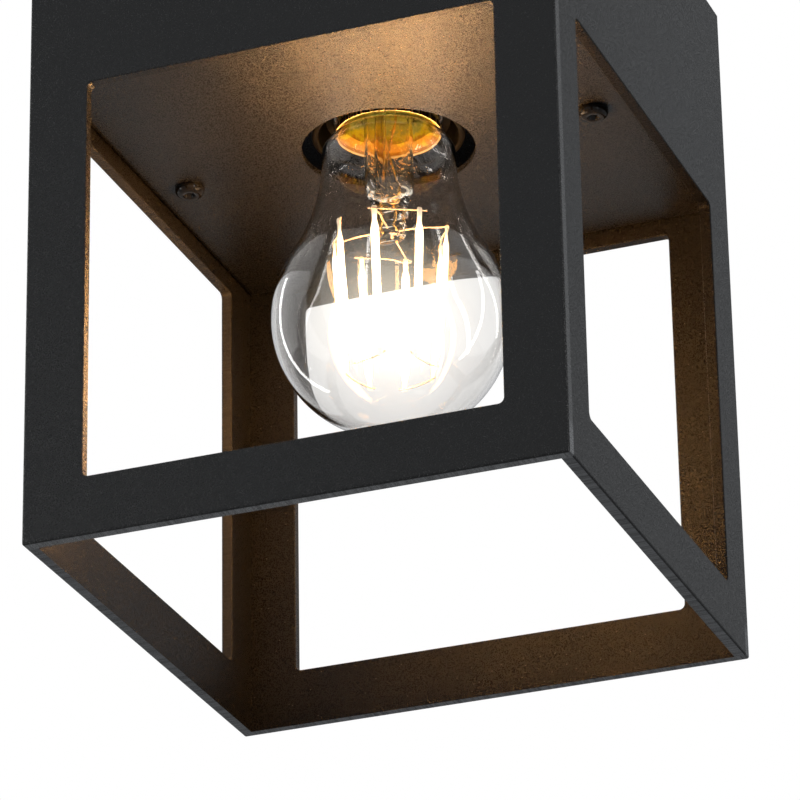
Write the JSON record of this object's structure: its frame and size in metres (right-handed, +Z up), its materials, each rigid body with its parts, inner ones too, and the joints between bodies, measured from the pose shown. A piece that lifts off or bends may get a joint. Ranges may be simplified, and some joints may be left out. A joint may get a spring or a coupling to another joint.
{
  "type": "ceiling lantern",
  "caption": "Square open-cage porch ceiling lantern in black sheet metal, with a screw-cap filament bulb hanging through its inner plate.",
  "frame": {"origin": "centre of the ceiling face, on top of the gasket", "axes": "+Z up into the ceiling, -Y towards the front, +X to the right"},
  "size_m": [0.136, 0.136, 0.183],
  "materials": {
    "cage_coat": "fine-texture matt black powder coat",
    "black_screw": "black oxide, satin",
    "zinc_steel": "zinc-plated steel",
    "foam": "closed-cell foam",
    "rubber": "matt rubber",
    "black_plastic": "moulded heat-proof plastic",
    "white_plastic": "moulded polyamide",
    "nickel": "nickel-plated",
    "brass": "plain brass",
    "brown_sleeve": "silicone insulation, brown",
    "blue_sleeve": "silicone insulation, blue",
    "green_sleeve": "silicone insulation, green and yellow",
    "gold_cap": "gold-toned plated cap",
    "dark_glass": "black vitreous insulator",
    "circuit_board": "printed board with parts",
    "clear_glass": "clear blown glass",
    "stem_glass": "clear drawn glass",
    "filament": "phosphor-coated, lit"
  },
  "bodies": {
    "lantern": {"front_panel": "cage_coat", "rear_panel": "cage_coat", "left_panel": "cage_coat", "right_panel": "cage_coat", "socket_plate": "cage_coat", "plate_screws": "black_screw", "leg_nuts": "zinc_steel", "ceiling_bracket": "zinc_steel", "ceiling_gasket": "foam", "cable_grommet": "rubber", "lampholder_bridge": "zinc_steel", "bridge_screws": "zinc_steel", "lampholder_base": "black_plastic", "lampholder_sleeve": "black_plastic", "lampholder_thread": "nickel", "lampholder_contact": "brass", "lampholder_side_contact": "brass", "lampholder_terminals": "brass", "lampholder_terminal_screws": "zinc_steel", "lampholder_screws": "zinc_steel", "lampholder_nuts": "zinc_steel", "terminal_block": "white_plastic", "terminal_inserts": "brass", "terminal_clamp_screws": "zinc_steel", "terminal_block_screw": "zinc_steel", "live_wire": "brown_sleeve", "neutral_wire": "blue_sleeve", "earth_wire": "green_sleeve", "earth_screw": "brass", "earth_washer": "zinc_steel", "earth_tag": "nickel"},
    "bulb_foot": {"bulb_foot_contact": "nickel", "bulb_insulator": "dark_glass"},
    "bulb": {"bulb_cap": "gold_cap", "bulb_glass": "clear_glass", "bulb_stem": "stem_glass", "bulb_exhaust_tube": "stem_glass", "bulb_lead_wires": "nickel", "bulb_driver": "circuit_board", "bulb_upper_wires": "nickel", "bulb_lower_wires": "nickel", "bulb_filaments": "filament"}
  },
  "joints": [
    {"name": "bulb_withdraw", "type": "slide", "parent": "lantern", "child": "bulb_foot", "axis": [0, 0, -1], "range_m": [0, 0.01814]},
    {"name": "bulb_turn", "type": "hinge", "parent": "bulb_foot", "child": "bulb", "pos_m": [0, 0, -0.0549], "axis": [0, 0, -1], "range_deg": [0, 1800]}
  ],
  "couplings": [
    {"joint": "bulb_turn", "follows": "bulb_withdraw", "rad_per_m": 1731.4}
  ]
}
